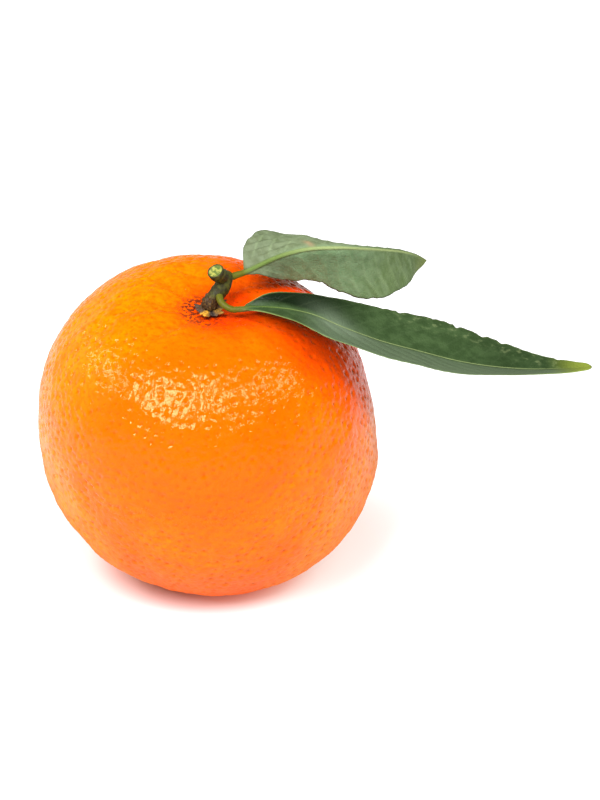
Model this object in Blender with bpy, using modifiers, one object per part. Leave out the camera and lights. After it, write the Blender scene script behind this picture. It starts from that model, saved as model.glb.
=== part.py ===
"""A tangerine as picked: the whole fruit with its calyx, a short cut stem and two leaves, at its real size.

Run with blender --background --python part.py, or from Blender's text editor.
The fruit rests on the floor at z = 0, over the origin. +X runs along the leaves, and the stem end leans
towards -Y.
"""

import math
import random
from collections import namedtuple

import bmesh
import bpy
import numpy as np
from mathutils import Matrix, Vector, kdtree

MM = 0.001
PIECE_GAP = 0.3 * MM  # between pieces that touch

# The fruit: a flattened ball with full shoulders.
FRUIT_WIDTH = 64.6 * MM
FRUIT_FLATNESS = 0.92  # pole to pole, over the width
SHOULDER_FULLNESS = 2.4  # 2 is an ellipse, and more is squarer
STEM_END_LEAN = math.radians(10.0)  # the stem end leans forward as the fruit rests
LOPSIDEDNESS = 0.027  # how far the left shoulder stands above the right one
CENTRE_HEIGHT = 29.7 * MM
CUBE_CUTS = 27  # the ball starts as a cube cut this many times each way

# The basin round the stem, with furrows over the shoulders, and the small one at the blossom end.
STEM_SPOT = Vector((1.6, -1.9)) * MM  # the stem grows a little off the fruit's axis
STEM_BASIN_DEPTH = 2.9 * MM
STEM_BASIN_RADIUS = 9.0 * MM
FURROW_COUNT = 9
FURROW_DEPTH = 0.30 * MM
FURROW_RADIUS = 11.0 * MM
FURROW_REACH = 5.0 * MM
BLOSSOM_BASIN_DEPTH = 0.9 * MM
BLOSSOM_BASIN_RADIUS = 3.0 * MM

# Broad swells and hollows of the peel: a direction from the centre, a height, and a reach as an angle.
SWELLS = (
    ((0.97, 0.15, 0.21), -0.7 * MM, math.radians(15)),
    ((-0.87, 0.29, 0.41), -0.7 * MM, math.radians(15)),
    ((-0.17, 0.57, 0.81), 0.5 * MM, math.radians(15)),
    ((0.97, -0.15, -0.21), 0.4 * MM, math.radians(12)),
    ((-0.77, -0.37, -0.53), -0.3 * MM, math.radians(12)),
)

# The underside sags under the fruit's weight, so that it rests flat under its middle.
SAG_SPOT = Vector((-1.5, 6.0)) * MM
SAG_DEPTH = 1.7 * MM
SAG_REACH = 9.0 * MM

# The rind's oil glands as pits, larger than life so that these faces can hold them.
PIT_SPACING = 2.7 * MM  # no two are nearer than this
PIT_DEPTH = 0.28 * MM
PIT_SEED = 7

# The calyx: five short sepals on a button that fills the bottom of the basin.
SEPAL_COUNT = 5
SEPAL_LENGTH = 1.3 * MM
SEPAL_LIFT = 0.7 * MM
SEPAL_SHARPNESS = 1.4
CALYX_RADIUS = 2.2 * MM
CALYX_THICKNESS = 0.9 * MM

# The stem: it leaves the calyx square to it, and then follows these points (x, y, z) at these radii, in mm.
STEM_FOOT_RADIUS = 1.45 * MM
STEM_FOOT_RISE = 0.7 * MM
STEM_ROUTE = (
    ((1.8, -6.4, 59.1), 1.40),
    ((3.2, -5.9, 60.7), 1.60),
    ((3.8, -5.6, 62.0), 1.40),
    ((3.8, -5.7, 62.9), 1.30),
)
STUB_ROUTE = (
    ((3.8, -5.3, 62.5), 1.20),
    ((3.2, -6.4, 63.5), 1.35),
    ((2.6, -7.5, 64.3), 1.45),
    ((2.0, -8.4, 65.0), 1.50),
)
KNOT_CENTRE = Vector((3.75, -5.6, 62.5)) * MM
KNOT_RADIUS = 1.45 * MM
STEM_BEVEL_CUTS = 4

# The leaves: waved blades, each with a rib that runs on as its stalk.
BLADE_THICKNESS = 0.6 * MM
BLADE_LENGTH_CUTS = 52
BLADE_HALF_CUTS = 4
BLADE_END_CROWDING = 0.35  # how much closer the cuts are at the ends than halfway along
FOLD_ROUNDING = 0.22  # share of the half width over which the fold at the rib is rounded
FOLD_STEPS = 8
TOOTH_LENGTH = 5.4 * MM
TOOTH_DEPTH = 0.04  # of the half width
RIB_ROOT_RADIUS = 0.60 * MM
RIB_TIP_RADIUS = 0.38 * MM
RIB_PROUD = 0.55  # of its radius
RIB_END = 0.9  # the rib fades into the blade at this share of its length
RIB_STEPS = 12
RIB_BEVEL_CUTS = 2

# A leaf faces one way and has its rib proud of that side (1) or of the other (-1). Its stalk has points
# (x, y, z) and radii in mm. A station has its share of the length, the rib's point in mm, the half widths of
# the back and the front half in mm, and each half's fold away from the side that the leaf faces, in degrees.
Leaf = namedtuple("Leaf", "name faces rib_side stalk stations")
Station = namedtuple("Station", "share rib back_width front_width back_fold front_fold")

LOWER_LEAF = Leaf(
    name="leaf_lower",
    faces=(0.0, 0.0, 1.0),
    rib_side=-1,
    stalk=(
        ((2.4, -6.2, 59.8), 0.85),
        ((2.7, -7.6, 59.5), 0.70),
        ((3.0, -8.7, 58.7), 0.62),
        ((4.5, -9.5, 57.9), 0.60),
        ((5.8, -9.7, 57.7), 0.60),
    ),
    stations=(
        Station(0.00, (8.0, -9.6, 58.0), 1.0, 0.8, -50, -5),
        Station(0.04, (10.7, -10.0, 58.3), 2.7, 2.2, -45, -5),
        Station(0.10, (14.7, -10.4, 58.2), 4.6, 4.8, -22, -6),
        Station(0.18, (19.4, -10.7, 57.3), 7.2, 7.3, -9, -5),
        Station(0.30, (25.9, -11.4, 54.7), 9.6, 9.6, -11, -8),
        Station(0.41, (32.7, -11.5, 52.1), 10.8, 10.8, -13, -9),
        Station(0.52, (39.8, -11.4, 50.0), 11.3, 11.3, -14, -11),
        Station(0.64, (47.2, -11.7, 48.1), 10.8, 10.8, -14, -13),
        Station(0.76, (54.7, -11.7, 46.9), 8.4, 8.4, -14, -16),
        Station(0.89, (63.1, -11.4, 46.4), 4.2, 4.2, -15, -14),
        Station(0.96, (68.6, -11.0, 46.5), 2.0, 2.0, -12, -8),
        Station(1.00, (71.8, -10.7, 46.7), 0.8, 0.8, -5, -5),
    ),
)
UPPER_LEAF = Leaf(
    name="leaf_upper",
    faces=(0.0, -0.906, 0.423),
    rib_side=1,
    stalk=(
        ((4.3, -5.1, 62.2), 0.80),
        ((5.6, -4.8, 62.6), 0.62),
        ((6.8, -4.6, 62.9), 0.60),
    ),
    stations=(
        Station(0.00, (7.5, -4.5, 63.1), 1.2, 0.6, 20, 10),
        Station(0.04, (9.3, -3.9, 63.8), 6.1, 1.4, 32, 12),
        Station(0.09, (11.4, -3.3, 64.7), 7.8, 4.0, 38, 40),
        Station(0.15, (13.9, -2.5, 65.5), 8.8, 6.6, 48, 54),
        Station(0.25, (18.5, -0.6, 66.0), 9.6, 8.8, 67, 56),
        Station(0.39, (24.5, 2.3, 65.2), 10.0, 9.6, 77, 54),
        Station(0.54, (29.5, 6.0, 63.5), 10.0, 10.6, 85, 46),
        Station(0.68, (33.8, 10.5, 61.4), 9.2, 10.2, 88, 26),
        Station(0.84, (37.8, 15.9, 58.7), 6.4, 7.1, 92, 2),
        Station(0.93, (40.2, 19.6, 56.5), 3.6, 4.0, 92, -6),
        Station(1.00, (42.1, 22.6, 54.3), 0.8, 0.8, 80, 0),
    ),
)

# sRGB colour and roughness of each piece.
FINISHES = {
    "fruit": ("#F78A12", 0.38),
    "calyx": ("#8A7A45", 0.80),
    "stem": ("#5F6B3A", 0.70),
    "leaf_lower": ("#3E6138", 0.42),
    "leaf_upper": ("#87A06F", 0.60),
}


def linear_colour(code):
    """An sRGB code such as #F78A12 as linear red, green, blue and alpha."""
    shares = [int(code[k : k + 2], 16) / 255 for k in (1, 3, 5)]
    return [x / 12.92 if x <= 0.04045 else ((x + 0.055) / 1.055) ** 2.4 for x in shares] + [1.0]


def finish(obj):
    """Gives the object its own material, and shades it smooth."""
    code, roughness = FINISHES[obj.name]
    material = bpy.data.materials.new(obj.name)
    material.use_nodes = True
    shader = material.node_tree.nodes["Principled BSDF"]
    shader.inputs["Base Color"].default_value = linear_colour(code)
    shader.inputs["Roughness"].default_value = roughness
    shader.inputs["Metallic"].default_value = 0.0
    obj.data.materials.clear()
    obj.data.materials.append(material)
    obj.data.shade_smooth()


def new_object(name, mesh, collection):
    """Links a new object for the mesh into the collection."""
    obj = bpy.data.objects.new(name, mesh)
    collection.objects.link(obj)
    return obj


def object_from(name, shape, collection):
    """Links a new object for a bmesh into the collection, and frees the bmesh."""
    mesh = bpy.data.meshes.new(name)
    shape.to_mesh(mesh)
    shape.free()
    return new_object(name, mesh, collection)


def evaluated_mesh(obj):
    """A plain mesh of the object with its modifiers applied, in its own space."""
    bpy.context.view_layer.update()
    graph = bpy.context.evaluated_depsgraph_get()
    return bpy.data.meshes.new_from_object(obj.evaluated_get(graph))


def combined(name, base, others, operation, collection):
    """One mesh object from a base and others joined to it or cut from it, which are then removed."""
    for other in others:
        step = base.modifiers.new(other.name, "BOOLEAN")
        step.operation = operation
        step.object = other
    mesh = evaluated_mesh(base)
    for used in (base, *others):
        bpy.data.objects.remove(used)
    return new_object(name, mesh, collection)


def make_tube(name, route, grow, bevel_cuts, collection):
    """A round rod along a route of ((x, y, z), radius) rows in mm, thicker by grow, with its caps welded."""
    curve = bpy.data.curves.new(name, "CURVE")
    curve.dimensions = "3D"
    curve.bevel_depth = 1.0
    curve.bevel_resolution = bevel_cuts
    curve.use_fill_caps = True
    curve.resolution_u = 3
    spline = curve.splines.new("NURBS")
    spline.points.add(len(route) - 1)
    for point, (place, radius) in zip(spline.points, route):
        point.co = (*(Vector(place) * MM), 1.0)
        point.radius = radius * MM + grow
    spline.order_u = 3
    spline.use_endpoint_u = True
    guide = new_object(name, curve, collection)
    mesh = evaluated_mesh(guide)
    bpy.data.objects.remove(guide)
    rod = bmesh.new()
    rod.from_mesh(mesh)
    bmesh.ops.remove_doubles(rod, verts=rod.verts, dist=0.01 * MM)
    bmesh.ops.recalc_face_normals(rod, faces=rod.faces)
    return object_from(name, rod, collection)


def smooth_step(low, high, x):
    """0 below low, 1 above high, and smooth between."""
    t = min(max((x - low) / (high - low), 0.0), 1.0)
    return t * t * (3 - 2 * t)


def bump(distance, reach):
    """1 at no distance, fading to nothing past the reach."""
    return math.exp(-((distance / reach) ** 2))


def fruit_frame():
    """From the fruit's own frame, +Z along its axis to the stem end, to the world."""
    return Matrix.Translation((0, 0, CENTRE_HEIGHT)) @ Matrix.Rotation(STEM_END_LEAN, 4, "X")


def peel_point(direction):
    """Where the smooth peel meets a direction from the fruit's centre, in the fruit's own frame."""
    across = direction.xy.length
    radius = FRUIT_WIDTH / 2
    half_height = radius * FRUIT_FLATNESS
    power = SHOULDER_FULLNESS
    reach = ((across / radius) ** power + (abs(direction.z) / half_height) ** power) ** (-1 / power)
    point = direction * reach
    if direction.z > 0:
        from_stem = point.xy - STEM_SPOT
        around = math.atan2(from_stem.y, from_stem.x)
        wander = 0.6 * math.sin(2 * around + 0.8) + 0.4 * math.sin(3 * around)
        furrow = 0.5 - 0.5 * math.cos(FURROW_COUNT * around + wander)
        furrow *= bump(from_stem.length - FURROW_RADIUS, FURROW_REACH)
        point.z -= STEM_BASIN_DEPTH * bump(from_stem.length, STEM_BASIN_RADIUS)
        point -= direction * (FURROW_DEPTH * furrow)
    else:
        point.z += BLOSSOM_BASIN_DEPTH * bump(point.xy.length, BLOSSOM_BASIN_RADIUS)
    for towards, height, spread in SWELLS:
        point += direction * (height * bump(direction.angle(Vector(towards)), spread))
    return Vector((point.x - LOPSIDEDNESS * point.z, point.y, point.z - LOPSIDEDNESS * point.x))


def settled(place):
    """Where a point of the peel lies once the underside has sagged and rests flat, in the world."""
    if place.z < CENTRE_HEIGHT:
        place.z -= SAG_DEPTH * bump((place.xy - SAG_SPOT).length, SAG_REACH)
    return Vector((place.x, place.y, max(place.z, 0.0)))


def draw_pits(points):
    """Numbers of points drawn at random from the peel's, no two nearer than the spacing of the pits."""
    tree = kdtree.KDTree(len(points))
    for number, point in enumerate(points):
        tree.insert(point, number)
    tree.balance()
    order = list(range(len(points)))
    random.Random(PIT_SEED).shuffle(order)
    taken = set()
    pits = []
    for number in order:
        if number not in taken:
            pits.append(number)
            taken.update(found[1] for found in tree.find_range(points[number], PIT_SPACING))
    return pits


def make_fruit(collection):
    """The fruit: a cube cut into a grid, blown up into the peel's form, pitted, and flat where it rests."""
    to_world = fruit_frame()
    to_fruit = to_world.inverted()
    ball = bmesh.new()
    bmesh.ops.create_cube(ball, size=2.0)
    bmesh.ops.subdivide_edges(ball, edges=ball.edges, cuts=CUBE_CUTS, use_grid_fill=True)
    directions = [Vector([math.tan(math.pi / 4 * x) for x in v.co]).normalized() for v in ball.verts]
    points = [peel_point(direction) for direction in directions]
    for number in draw_pits(points):
        under_calyx = (points[number].xy - STEM_SPOT).length < 2 * CALYX_RADIUS
        if not (under_calyx and directions[number].z > 0):
            points[number] -= directions[number] * PIT_DEPTH
    for vertex, point in zip(ball.verts, points):
        vertex.co = to_fruit @ settled(to_world @ point)
    bmesh.ops.triangulate(ball, faces=ball.faces)
    return object_from("fruit", ball, collection)


def basin_point(x, y):
    """The point of the smooth peel over a place in the stem's basin, in the fruit's own frame."""
    aim = Vector((x, y, FRUIT_WIDTH / 2 * FRUIT_FLATNESS))
    found = peel_point(aim.normalized())
    while (found.xy - Vector((x, y))).length > 0.01 * MM:
        aim.x += x - found.x
        aim.y += y - found.y
        found = peel_point(aim.normalized())
    return found


def stem_place():
    """The middle of the stem's basin on the peel, in the fruit's own frame."""
    return STEM_SPOT - Vector((LOPSIDEDNESS * FRUIT_WIDTH / 2 * FRUIT_FLATNESS, 0))


def make_calyx(collection):
    """The calyx: a flattened ball drawn out into sepals, lying along the basin with a small gap."""
    button = bmesh.new()
    bmesh.ops.create_uvsphere(button, u_segments=40, v_segments=10, radius=1.0)
    middle = stem_place()
    for vertex in button.verts:
        around = math.atan2(vertex.co.y, vertex.co.x)
        across = vertex.co.xy.length
        lobe = 0.5 + 0.5 * math.cos(SEPAL_COUNT * around + 0.5 * math.sin(around))
        lobe **= SEPAL_SHARPNESS
        out = (CALYX_RADIUS + SEPAL_LENGTH * lobe) * across
        x, y = middle + out * Vector((math.cos(around), math.sin(around)))
        lift = PIECE_GAP + 0.5 * CALYX_THICKNESS * (1 + vertex.co.z) + SEPAL_LIFT * lobe * across**3
        vertex.co = basin_point(x, y) + Vector((0, 0, lift))
    bmesh.ops.triangulate(button, faces=button.faces)
    return object_from("calyx", button, collection)


def make_stem(name, grow, collection):
    """The stem: a trunk a small gap above the calyx, with a knot and a cut stub, thicker by grow."""
    above_peel = PIECE_GAP + CALYX_THICKNESS + PIECE_GAP
    foot = basin_point(*stem_place()) + Vector((0, 0, above_peel))
    places = (foot, foot + Vector((0, 0, STEM_FOOT_RISE)))
    root = [(fruit_frame() @ place / MM, STEM_FOOT_RADIUS / MM) for place in places]
    trunk = make_tube(name + "_trunk", root + list(STEM_ROUTE), grow, STEM_BEVEL_CUTS, collection)
    stub = make_tube(name + "_stub", STUB_ROUTE, grow, STEM_BEVEL_CUTS, collection)
    ball = bmesh.new()
    bmesh.ops.create_uvsphere(ball, u_segments=14, v_segments=10, radius=KNOT_RADIUS + grow)
    bmesh.ops.translate(ball, verts=ball.verts, vec=KNOT_CENTRE)
    knot = object_from(name + "_knot", ball, collection)
    return combined(name, trunk, (stub, knot), "UNION", collection)


def station_at(leaf, share):
    """A leaf's station at any share of its length, read along a smooth curve through its stations."""
    table = np.array([(s.share, *s.rib, *s[2:]) for s in leaf.stations])
    keys, values = table[:, 0], table[:, 1:]
    slopes = np.gradient(values, keys, axis=0)
    k = min(max(int(np.searchsorted(keys, share)) - 1, 0), len(keys) - 2)
    span = keys[k + 1] - keys[k]
    t = (share - keys[k]) / span
    start = (1 + 2 * t) * (1 - t) ** 2 * values[k] + t * (1 - t) ** 2 * span * slopes[k]
    end = (3 - 2 * t) * t**2 * values[k + 1] - (1 - t) * t**2 * span * slopes[k + 1]
    found = start + end
    return Station(share, Vector(found[:3]), *found[3:])


def leaf_axes(leaf, share):
    """The way that a leaf faces there, and the way across it to its back half."""
    step = 0.004
    before = station_at(leaf, max(share - step, 0.0)).rib
    after = station_at(leaf, min(share + step, 1.0)).rib
    along = (after - before).normalized()
    face = Vector(leaf.faces)
    face = (face - along * face.dot(along)).normalized()
    return face, face.cross(along)


def blade_point(leaf, share, side):
    """A point of a leaf's middle surface, with side from -1 at the front edge to 1 at the back edge."""
    here = station_at(leaf, share)
    face, across = leaf_axes(leaf, share)
    ribs = [Vector(station.rib) * MM for station in leaf.stations]
    length = sum((b - a).length for a, b in zip(ribs, ribs[1:]))
    dip = 1 - abs(math.sin(math.pi * share * length / TOOTH_LENGTH))
    if side > 0:
        width, fold = here.back_width, math.radians(here.back_fold)
    else:
        width, fold = here.front_width, math.radians(here.front_fold)
        across = -across
    width *= 1 - TOOTH_DEPTH * dip * abs(side)
    stride = width * abs(side) / FOLD_STEPS
    place = here.rib
    for k in range(FOLD_STEPS):
        out = abs(side) * (k + 0.5) / FOLD_STEPS
        turned = fold * smooth_step(-FOLD_ROUNDING, FOLD_ROUNDING, out)
        place = place + (across * math.cos(turned) - face * math.sin(turned)) * stride
    return place * MM


def make_blade(leaf, collection):
    """A leaf's waved blade, of even thickness, split into triangles alike on both faces."""
    sheet = bmesh.new()
    bmesh.ops.create_grid(sheet, x_segments=BLADE_LENGTH_CUTS, y_segments=2 * BLADE_HALF_CUTS, size=1.0)
    for vertex in sheet.verts:
        even = (vertex.co.x + 1) / 2
        share = even - BLADE_END_CROWDING * math.sin(2 * math.pi * even) / (2 * math.pi)
        vertex.co = blade_point(leaf, share, vertex.co.y)
    bmesh.ops.triangulate(sheet, faces=sheet.faces)
    blade = object_from(leaf.name + "_sheet", sheet, collection)
    wall = blade.modifiers.new("thickness", "SOLIDIFY")
    wall.thickness = BLADE_THICKNESS
    wall.offset = 0.0
    return blade


def make_rib(leaf, collection):
    """A leaf's stalk, running on as its rib."""
    route = list(leaf.stalk)
    for k in range(RIB_STEPS + 1):
        share = RIB_END * k / RIB_STEPS
        radius = RIB_ROOT_RADIUS + (RIB_TIP_RADIUS - RIB_ROOT_RADIUS) * k / RIB_STEPS
        face, _ = leaf_axes(leaf, share)
        proud = face * (leaf.rib_side * RIB_PROUD * radius * smooth_step(0.0, 0.12, share))
        route.append(((blade_point(leaf, share, 0.0) + proud) / MM, radius / MM))
    return make_tube(leaf.name + "_rib", route, 0.0, RIB_BEVEL_CUTS, collection)


def make_leaf(leaf, collection, cutters):
    """A leaf: its blade fused with its rib and stalk, and trimmed to end a small gap from the stem."""
    blade = make_blade(leaf, collection)
    rib = make_rib(leaf, collection)
    whole = combined(leaf.name + "_whole", blade, (rib,), "UNION", collection)
    clearance = make_stem(leaf.name + "_clearance", PIECE_GAP, cutters)
    return combined(leaf.name, whole, (clearance,), "DIFFERENCE", collection)


def main():
    """Builds the tangerine's pieces."""
    for old in list(bpy.data.objects):
        bpy.data.objects.remove(old)
    collection = bpy.data.collections.new("tangerine")
    cutters = bpy.data.collections.new("cutters")
    bpy.context.scene.collection.children.link(collection)
    bpy.context.scene.collection.children.link(cutters)
    axis = bpy.data.objects.new("fruit_axis", None)
    axis.matrix_world = fruit_frame()
    collection.objects.link(axis)

    fruit = make_fruit(collection)
    calyx = make_calyx(collection)
    for piece in (fruit, calyx):
        piece.parent = axis
    stem = make_stem("stem", 0.0, collection)
    leaves = [make_leaf(leaf, collection, cutters) for leaf in (LOWER_LEAF, UPPER_LEAF)]
    for piece in (fruit, calyx, stem, *leaves):
        finish(piece)


main()
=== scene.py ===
"""The look of a tangerine as picked, with its calyx, cut twig and two leaves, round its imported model.

Lengths are in millimetres in the classes, and become metres where a mesh or a node takes them. The places and
sizes are those of the CAD source, at a finer resolution and with their relief.
"""

import logging
import math
from dataclasses import dataclass
from enum import Enum
from functools import partial
from typing import Any

import bmesh
import bpy
import numpy as np
from mathutils import Matrix, Vector, noise


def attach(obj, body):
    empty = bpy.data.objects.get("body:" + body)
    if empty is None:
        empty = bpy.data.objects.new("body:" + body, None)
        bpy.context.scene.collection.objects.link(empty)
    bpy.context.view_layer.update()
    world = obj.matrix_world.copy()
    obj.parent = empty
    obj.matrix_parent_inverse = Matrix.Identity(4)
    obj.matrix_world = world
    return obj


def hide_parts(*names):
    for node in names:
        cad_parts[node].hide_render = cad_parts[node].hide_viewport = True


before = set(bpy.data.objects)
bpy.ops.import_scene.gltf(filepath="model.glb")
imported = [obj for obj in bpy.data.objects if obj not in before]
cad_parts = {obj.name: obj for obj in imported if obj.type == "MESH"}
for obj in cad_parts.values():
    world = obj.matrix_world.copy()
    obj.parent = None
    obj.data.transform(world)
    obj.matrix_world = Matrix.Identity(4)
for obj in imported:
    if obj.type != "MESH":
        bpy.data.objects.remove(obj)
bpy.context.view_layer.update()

MM = 0.001
LOG = logging.getLogger("tangerine")
BODY = "root"
PIECE_GAP = 0.3
MATHS = "ShaderNodeMath"
VECTORS = "ShaderNodeVectorMath"

Colour = tuple[float, float, float, float]
Point = tuple[float, float, float]
Route = tuple[tuple[Point, float], ...]


class Slot(Enum):
    """The record's material slots."""

    PEEL = "peel"
    CALYX = "calyx"
    STEM = "stem"
    LEAF_FACE = "leaf_face"
    LEAF_UNDERSIDE = "leaf_underside"


class Step(Enum):
    """A step of a node tree: the node's type, its inputs in order, the output that is read, its settings.

    PLACE is a point's place on its object, and DIRECTION is the way from the middle of the room.
    """

    ADD = (MATHS, (0, 1), 0, {"operation": "ADD"})
    SUBTRACT = (MATHS, (0, 1), 0, {"operation": "SUBTRACT"})
    MULTIPLY = (MATHS, (0, 1), 0, {"operation": "MULTIPLY"})
    DIVIDE = (MATHS, (0, 1), 0, {"operation": "DIVIDE"})
    POWER = (MATHS, (0, 1), 0, {"operation": "POWER"})
    MAXIMUM = (MATHS, (0, 1), 0, {"operation": "MAXIMUM"})
    ABOVE = (MATHS, (0, 1), 0, {"operation": "GREATER_THAN"})
    ABSOLUTE = (MATHS, (0,), 0, {"operation": "ABSOLUTE"})
    FRACTION = (MATHS, (0,), 0, {"operation": "FRACT"})
    COSINE = (MATHS, (0,), 0, {"operation": "COSINE"})
    EXPONENT = (MATHS, (0,), 0, {"operation": "EXPONENT"})
    DISTANCE = (VECTORS, (0, 1), "Value", {"operation": "DISTANCE"})
    ALONG = (VECTORS, (0, 1), "Value", {"operation": "DOT_PRODUCT"})
    SCALE = (VECTORS, (0, "Scale"), "Vector", {"operation": "SCALE"})
    DRIFT = (VECTORS, (0, 1, 2), "Vector", {"operation": "MULTIPLY_ADD"})
    HEIGHT = ("ShaderNodeSeparateXYZ", (0,), "Z", {})
    NOISE = ("ShaderNodeTexNoise", ("Vector", "Scale", "Detail"), 0, {})
    NOISE_COLOUR = ("ShaderNodeTexNoise", ("Vector", "Scale", "Detail"), "Color", {})
    CELLS = ("ShaderNodeTexVoronoi", ("Vector", "Scale"), "Distance", {"feature": "DISTANCE_TO_EDGE"})
    PLACE = ("ShaderNodeTexCoord", (), "Object", {})
    DIRECTION = ("ShaderNodeTexCoord", (), "Generated", {})
    MAPPED = ("ShaderNodeMapping", ("Vector", "Rotation", "Scale"), 0, {"vector_type": "TEXTURE"})
    ATTRIBUTE = ("ShaderNodeAttribute", (), "Fac", {})
    RIM = ("ShaderNodeLayerWeight", ("Blend",), "Facing", {})
    BLEND = ("ShaderNodeMix", (0, 6, 7), 2, {"data_type": "RGBA"})
    BUMP = ("ShaderNodeBump", ("Height", "Distance", "Normal"), 0, {})
    RISE = (
        "ShaderNodeMapRange",
        ("Value", "From Min", "From Max", "To Min", "To Max"),
        0,
        {"interpolation_type": "SMOOTHSTEP"},
    )
    POSITION = ("GeometryNodeInputPosition", (), 0, {})
    NORMAL = ("GeometryNodeInputNormal", (), 0, {})
    KEPT = ("GeometryNodeInputNamedAttribute", ("Name",), 0, {"data_type": "FLOAT"})
    KEEP = (
        "GeometryNodeStoreNamedAttribute",
        ("Geometry", "Name", "Value"),
        0,
        {"data_type": "FLOAT", "domain": "POINT"},
    )
    SCATTER = (
        "GeometryNodeDistributePointsOnFaces",
        ("Mesh", "Distance Min", "Density Max", "Density Factor", "Seed"),
        0,
        {"distribute_method": "POISSON"},
    )
    RANDOM = ("FunctionNodeRandomValue", (2, 3, "Seed"), 1, {"data_type": "FLOAT"})
    NEAREST = ("GeometryNodeSampleNearest", ("Geometry", "Sample Position"), 0, {"domain": "POINT"})
    VALUE_AT = ("GeometryNodeSampleIndex", ("Geometry", "Value", "Index"), 0, {"data_type": "FLOAT"})
    PLACE_AT = ("GeometryNodeSampleIndex", ("Geometry", "Value", "Index"), 0, {"data_type": "FLOAT_VECTOR"})
    MOVED = ("GeometryNodeSetPosition", ("Geometry", "Offset"), 0, {})
    PLAIN = ("GeometryNodeRealizeInstances", ("Geometry",), 0, {})
    DRESSED = ("GeometryNodeSetMaterial", ("Geometry", "Material"), 0, {})
    GIVEN = ("NodeGroupInput", (), None, {})
    RESULT = ("NodeGroupOutput", (0,), None, {})


def linear(code: str) -> Colour:
    """Turns an sRGB colour code into linear light.

    Args:
        code: The colour, such as #F78A12.

    Returns:
        Linear red, green, blue and alpha.
    """
    shares = [int(code[k : k + 2], 16) / 255 for k in (1, 3, 5)]
    red, green, blue = (x / 12.92 if x <= 0.04045 else ((x + 0.055) / 1.055) ** 2.4 for x in shares)
    return (red, green, blue, 1.0)


def smooth_step(low: float, high: float, x: Any) -> Any:
    """Rises smoothly from 0 at low to 1 at high, for a number or an array x."""
    t = np.clip((x - low) / (high - low), 0.0, 1.0)
    return t * t * (3 - 2 * t)


def bump(distance: Any, reach: float) -> Any:
    """1 at no distance, fading away past the reach."""
    return np.exp(-((distance / reach) ** 2))


def beside(angles: np.ndarray, middle: float, reach: float) -> np.ndarray:
    """1 at the middle of a sector, fading on both sides, for angles in degrees."""
    return bump((angles - middle + 180) % 360 - 180, reach)


def rough(points: np.ndarray, size: float, octaves: int, offset: float) -> np.ndarray:
    """A smooth random field at these points, with hills of this size, from about -1 to 1."""
    shift = Vector((offset, 2 * offset, 3 * offset))
    return np.array([noise.fractal(Vector(p) / size + shift, 0.6, 2.0, octaves) for p in points])


def flowing(route: np.ndarray, count: int) -> np.ndarray:
    """Rounds a route into a smooth curve that starts and ends at its ends.

    Args:
        route: The guiding points, one a row, with any further columns.
        count: How many points the curve has between two guiding points.

    Returns:
        The curve's points, with the same columns.
    """
    last = len(route) - 3
    pieces = []
    for k in range(last + 1):
        start = route[0] if k == 0 else (route[k] + route[k + 1]) / 2
        end = route[-1] if k == last else (route[k + 1] + route[k + 2]) / 2
        t = np.linspace(0, 1, count, endpoint=k == last)[:, None]
        pieces.append((1 - t) ** 2 * start + 2 * t * (1 - t) * route[k + 1] + t**2 * end)
    return np.concatenate(pieces)


def unit(vectors: np.ndarray) -> np.ndarray:
    """The vectors at length 1."""
    return vectors / np.linalg.norm(vectors, axis=-1, keepdims=True)


def rows_of(route: Route) -> np.ndarray:
    """A route's places and radii, one a row."""
    return np.array([[*place, radius] for place, radius in route])


def per_mm(*direction: float) -> Point:
    """A direction that turns a place in metres into millimetres along it."""
    return tuple(x / MM for x in direction)


def new_object(name: str, points: np.ndarray, faces: list[list[int]]) -> bpy.types.Object:
    """Makes a smooth mesh object at the origin.

    Args:
        name: Its name.
        points: Its corners in millimetres, one a row.
        faces: The numbers of each face's corners.

    Returns:
        The object, linked into the scene.
    """
    mesh = bpy.data.meshes.new(name)
    mesh.from_pydata((points * MM).tolist(), [], faces)
    mesh.shade_smooth()
    obj = bpy.data.objects.new(name, mesh)
    bpy.context.scene.collection.objects.link(obj)
    return obj


def read(mesh: bpy.types.Mesh, rows: str, name: str) -> np.ndarray:
    """Reads the vectors that a mesh holds.

    Args:
        mesh: The mesh.
        rows: Which of its parts hold them, such as vertices.
        name: What they are called there.

    Returns:
        The vectors, one a row.
    """
    flat = np.empty(3 * len(mesh.vertices), np.float32)
    getattr(mesh, rows).foreach_get(name, flat)
    return flat.reshape(-1, 3).astype(float)


def move_to(mesh: bpy.types.Mesh, points: np.ndarray) -> None:
    """Puts the mesh's corners at these places in millimetres."""
    mesh.vertices.foreach_set("co", (points * MM).ravel())
    mesh.update()


def store(mesh: bpy.types.Mesh, marks: dict[str, np.ndarray]) -> None:
    """Keeps values for the corners of a mesh, for its trees to read.

    Args:
        mesh: The mesh.
        marks: The values of each attribute by its name.
    """
    for name, values in marks.items():
        attribute = mesh.attributes.new(name, "FLOAT", "POINT")
        attribute.data.foreach_set("value", np.asarray(values, np.float32))


def wire(tree: bpy.types.NodeTree, node: bpy.types.Node, sockets: dict[str | int, Any]) -> None:
    """Sets or links a node's inputs.

    Args:
        tree: The tree that it is in.
        node: The node.
        sockets: What each input is, by its name or number: a value, a colour code, or another node's output.
    """
    for key, value in sockets.items():
        if isinstance(value, bpy.types.NodeSocket):
            tree.links.new(value, node.inputs[key])
        elif isinstance(value, str) and value.startswith("#"):
            node.inputs[key].default_value = linear(value)
        else:
            node.inputs[key].default_value = value


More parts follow.
